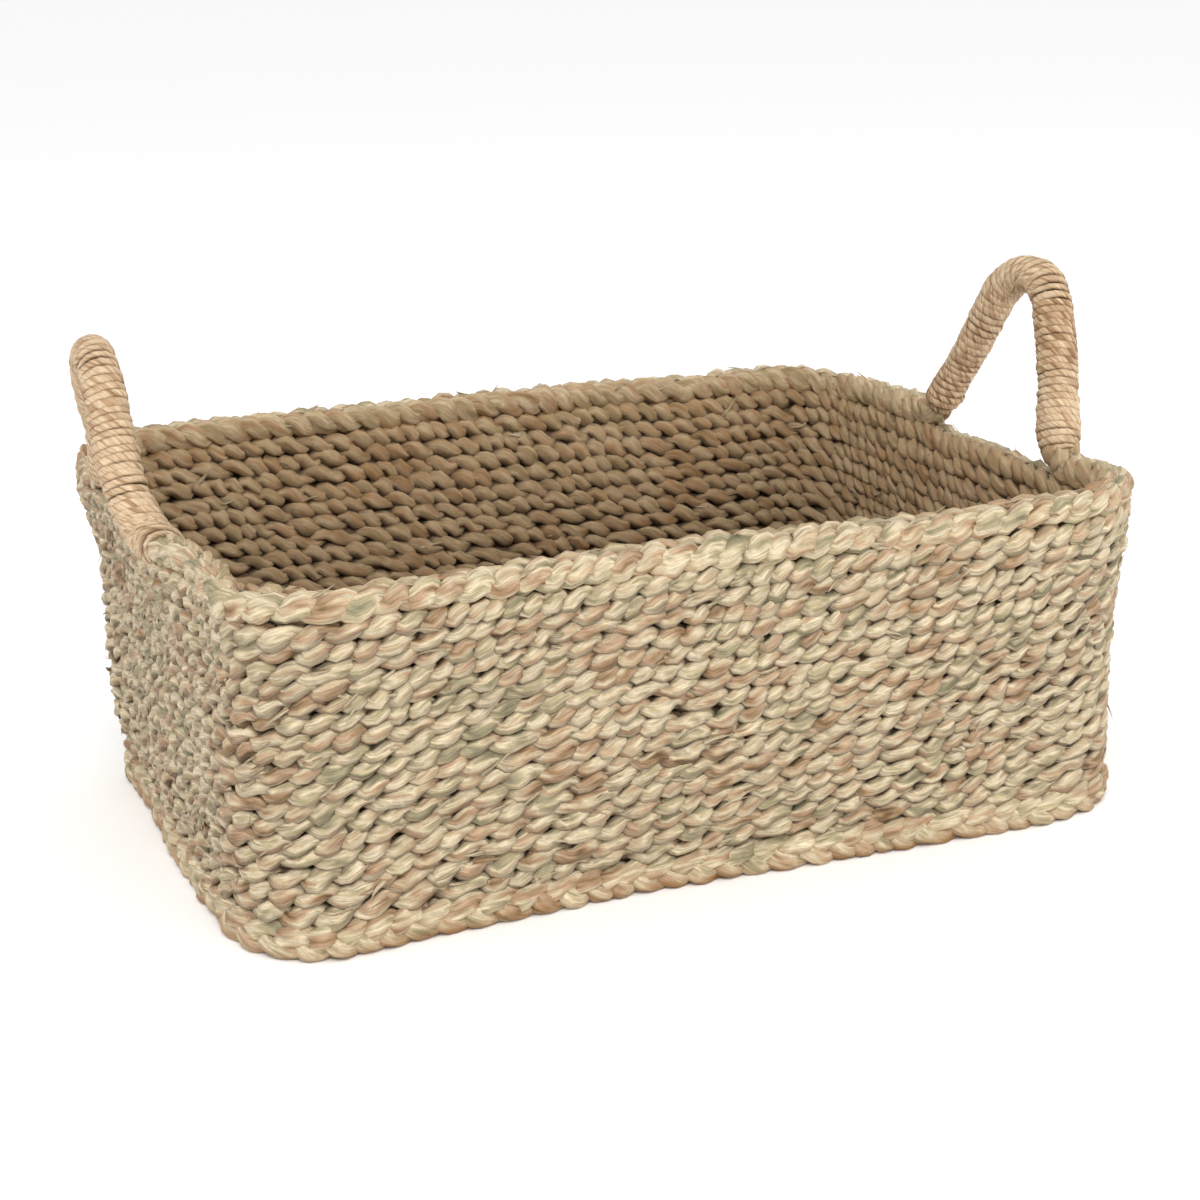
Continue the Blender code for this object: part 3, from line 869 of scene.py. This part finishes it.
def buildWrapping(way, node, seedNumber):
    points, along, outward, upward, run, total = ropePath
    here = handleSpan(way, footLevel + wrapping["startAboveFoot"][way])
    before, after = wrapping["alongRim"][way]
    here = np.concatenate([here[0] - np.arange(before, 0, -1), here,
                           here[-1] + np.arange(1, after + 1)]) % len(run)
    steps = np.arange(len(here)) * total / len(run)
    length = steps[-1]
    turns = length / wrapping["pitch"]
    count = int(turns * wrapping["samplesPerTurn"])
    fine = np.linspace(0, length, count)
    dice = np.random.default_rng(seedNumber)

    def follow(values):
        return np.stack([np.interp(fine, steps, values[here][:, k]) for k in range(3)], 1)

    centre, side, up, forward = follow(points), follow(outward), follow(upward), follow(along)
    slip = chance(fine, 11 * mm, dice) + 0.6 * chance(fine, 5 * mm, dice)
    angle = fullTurn * (turns * fine / length + wrapping["slip"] * slip)
    loose = (0.9 * chance(fine, 1.3 * mm, dice) + 0.5 * chance(fine, 0.5 * mm, dice)
             + 0.8 * chance(fine, 16 * mm, dice))
    ends = np.minimum(fine, length - fine)
    radius = (handle["wrapRadius"] - wrapping["thickness"] / 2 + wrapping["unevenRadius"] * loose
              + handle["footSwell"] * smoothStep(handle["footReach"], 0, ends)
              - wrapping["tuck"] * smoothStep(wrapping["tuckLength"], 0, ends))
    outwardHere = side * np.cos(angle)[:, None] + up * np.sin(angle)[:, None]
    sway = wrapping["sway"] * chance(fine, 0.9 * mm, dice)
    centres = centre + outwardHere * radius[:, None] + forward * sway[:, None]
    fatness = 1 + wrapping["unevenWidth"] * chance(fine, 2.3 * mm, dice)
    builder = StrandBuilder()
    ring = wrapping["ring"]
    flank = np.abs(np.cos(np.arange(ring) / ring * fullTurn))
    paintedShade = wrapping["flankShade"] * smoothStep(wrapping["flankFrom"], 1.0, flank)
    tone = np.stack([np.full((count, ring), dice.uniform()), np.zeros((count, ring)),
                     np.broadcast_to(paintedShade, (count, ring))], -1)
    cordRun = angle * handle["wrapRadius"]
    builder.addSweep(centres, forward, wrapping["width"] * fatness,
                     wrapping["thickness"] * (0.85 + 0.15 * fatness), ring, False, tone, cordRun,
                     fullTurn * cordRun / wrapping["twist"], wrapping["creaseDepth"],
                     wrapping["lumpSize"] * chance(fine, 0.4 * mm, dice), endTaper=10)
    piece = builder.build("wrap" + ("Right" if way > 0 else "Left"), cordLeaf)
    bendAtFeet(piece)
    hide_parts(node)


buildWrapping(1, "handle_wrap_right", 401)
buildWrapping(-1, "handle_wrap_left", 402)
print("handles wrapped")


# Loose ends: leaf tips and split fibres that lift off the strands
looseEnds = {
    "tips": {"count": 520, "width": (1.0, 2.3), "thickness": (0.35, 0.6), "length": (6, 13),
             "lift": (0.1, 0.9)},
    "fibres": {"count": 240, "width": (0.22, 0.40), "thickness": (0.20, 0.32),
               "length": (5, 15), "lift": (0.3, 2.2)},
    "fuzz": {"width": (0.16, 0.28), "thickness": (0.15, 0.22), "length": (3, 7),
             "lift": (0.2, 1.3)},
    "onRim": 80, "onHandle": 30, "rows": 8, "ring": 5,
    "curl": 0.22, "rooted": 0.5 * mm,            # of the length; how deep the root goes in
    "browned": 0.15, "insideShare": 0.1, "forwardShare": 0.7,
    "wallDepth": 14.6 * mm, "wallRoot": 0.4 * mm, "rimRadius": 6.4 * mm,
}


# One tip or fibre: from a rooted point, along a direction, lifting off towards its free end
def addLooseEnd(builder, root, direction, outward, kind, dice):
    length, lift, width, thickness = (dice.uniform(*kind[k]) * mm
                                      for k in ("length", "lift", "width", "thickness"))
    share = np.linspace(0, 1, looseEnds["rows"])
    across = np.cross(outward, direction)
    bend = dice.normal() * looseEnds["curl"] * length
    centres = (root + direction * (share * length)[:, None]
               + outward * (lift * share ** 1.6
                            - looseEnds["rooted"] * (1 - share) ** 2)[:, None]
               + across * (bend * share ** 2)[:, None])
    taper = (1 - share ** 2.5) * 0.95 + 0.05
    tone = np.zeros((looseEnds["rows"], looseEnds["ring"], 3))
    tone[..., 0] = dice.uniform()
    tone[..., 1] = dice.uniform() < looseEnds["browned"]
    builder.addSweep(centres, across, width * taper, thickness * taper, looseEnds["ring"], False,
                     tone, share * length + dice.uniform(0, 5), creaseDepth=0.1)


def wallSpot(dice):
    name = wallPlait["courses"][dice.integers(len(wallPlait["courses"]))]
    low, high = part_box(name)
    points, outward, run, _ = rectangleRun(
        (high.x - low.x) / 2, (high.y - low.y) / 2, wallPlait["cornerHigh"],
        low.z + dice.uniform(0, 1) * (high.z - low.z), 5 * mm)
    pick = dice.integers(len(run))
    ahead = unit(np.array([-outward[pick, 1], outward[pick, 0], 0.0]))
    return points[pick], ahead, outward[pick]


def buildLooseEnds():
    dice = np.random.default_rng(500)
    builder = StrandBuilder()
    for kind in (looseEnds["tips"], looseEnds["fibres"]):
        for _ in range(kind["count"]):
            spot, ahead, outward = wallSpot(dice)
            slope = dice.normal(0.35, 0.30)
            inside = dice.uniform() < looseEnds["insideShare"]
            way = 1 if dice.uniform() < looseEnds["forwardShare"] else -1
            direction = unit((ahead * (-1 if inside else 1) + np.array([0, 0, slope])) * way)
            if inside:
                spot, outward = spot - outward * looseEnds["wallDepth"], -outward
            addLooseEnd(builder, spot - outward * looseEnds["wallRoot"], direction, outward,
                        kind, dice)
    piece = builder.build("looseWallEnds", seagrassLeaf)
    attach(piece, "basket")
    points, along, outward, upward = ropePath[:4]
    rim = StrandBuilder()
    onRim = np.flatnonzero(points[:, 2] < ropeLevel + rope["offRim"])
    for number in range(looseEnds["onRim"]):
        pick = onRim[dice.integers(len(onRim))]
        turn = dice.uniform(-0.6, math.pi)
        facing = outward[pick] * math.cos(turn) + upward[pick] * math.sin(turn)
        spot = points[pick] + facing * looseEnds["rimRadius"]
        way = 1 if dice.uniform() < looseEnds["forwardShare"] else -1
        direction = unit(way * along[pick] + 0.35 * dice.normal() * np.cross(facing, along[pick]))
        addLooseEnd(rim, spot, direction, facing,
                    looseEnds["tips" if number % 3 else "fuzz"], dice)
    piece = rim.build("looseRimEnds", seagrassLeaf)
    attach(piece, "basket")
    for way, body, label in ((1, "handle_right", "Right"), (-1, "handle_left", "Left")):
        here = handleSpan(way, footLevel + 2 * mm)
        hairs = StrandBuilder()
        for _ in range(looseEnds["onHandle"]):
            pick = here[dice.integers(len(here))]
            turn = dice.uniform(0, fullTurn)
            facing = outward[pick] * math.cos(turn) + upward[pick] * math.sin(turn)
            spot = points[pick] + facing * handle["wrapRadius"]
            direction = unit(np.cross(along[pick], facing) + 0.3 * dice.normal() * along[pick])
            addLooseEnd(hairs, spot, direction, facing, looseEnds["fuzz"], dice)
        piece = hairs.build("looseCordEnds" + label, cordLeaf)
        bendAtFeet(piece)


buildLooseEnds()
print("loose ends added")


# Floor, light and camera
studio = {
    "floorSize": 30.0, "floorColour": "#ffffff", "floorRoughness": 0.9,
    "skyColour": "#ffffff", "skyStrength": 0.95,
    "keyPlace": (-0.75, -1.7, 1.75), "keySize": 1.5, "keyPower": 32.0,
    "fillPlace": (1.5, -1.2, 0.9), "fillSize": 1.6, "fillPower": 9.0,
    "lightColour": "#fffdfa", "aim": (0, 0, 0.08),
}

viewpoint = {
    "place": (-0.3889, -0.9985, 0.3946), "yaw": -21.52, "down": 15.99, "roll": -1.32,
    "lens": 74.1, "sensor": 36.0,
}


def addAreaLight(name, place, size, power):
    data = bpy.data.lights.new(name, "AREA")
    data.shape = "DISK"
    data.size = size
    data.energy = power
    data.color = linearColour(studio["lightColour"])[:3]
    lamp = bpy.data.objects.new(name, data)
    lamp.location = place
    lamp.rotation_mode = "QUATERNION"
    lamp.rotation_quaternion = (Vector(studio["aim"]) - Vector(place)).to_track_quat("-Z", "Y")
    bpy.context.scene.collection.objects.link(lamp)


def buildStudio():
    bpy.ops.mesh.primitive_plane_add(size=studio["floorSize"])
    floor = bpy.context.active_object
    floor.name = "studioFloor"
    paper = bpy.data.materials.new("studioPaper")
    paper.use_nodes = True
    shader = paper.node_tree.nodes["Principled BSDF"]
    shader.inputs["Base Color"].default_value = linearColour(studio["floorColour"])
    shader.inputs["Roughness"].default_value = studio["floorRoughness"]
    floor.data.materials.append(paper)
    world = bpy.data.worlds.new("studioSky")
    world.use_nodes = True
    sky = world.node_tree.nodes["Background"]
    sky.inputs["Color"].default_value = linearColour(studio["skyColour"])
    sky.inputs["Strength"].default_value = studio["skyStrength"]
    bpy.context.scene.world = world
    addAreaLight("keyLight", studio["keyPlace"], studio["keySize"], studio["keyPower"])
    addAreaLight("fillLight", studio["fillPlace"], studio["fillSize"], studio["fillPower"])


def buildCamera():
    yaw, down, roll = (math.radians(viewpoint[k]) for k in ("yaw", "down", "roll"))
    forward = Vector((-math.sin(yaw) * math.cos(down), math.cos(yaw) * math.cos(down),
                      -math.sin(down)))
    right = Vector((math.cos(yaw), math.sin(yaw), 0))
    up = right.cross(forward)
    rolledRight = right * math.cos(roll) + up * math.sin(roll)
    rolledUp = up * math.cos(roll) - right * math.sin(roll)
    data = bpy.data.cameras.new("viewCamera")
    data.lens, data.sensor_width = viewpoint["lens"], viewpoint["sensor"]
    camera = bpy.data.objects.new("viewCamera", data)
    turn = Matrix((rolledRight, rolledUp, -forward)).transposed()
    camera.matrix_world = Matrix.Translation(viewpoint["place"]) @ turn.to_4x4()
    bpy.context.scene.collection.objects.link(camera)
    bpy.context.scene.camera = camera


buildStudio()
buildCamera()
bpy.context.scene.view_settings.view_transform = "Standard"
print("studio and camera ready")
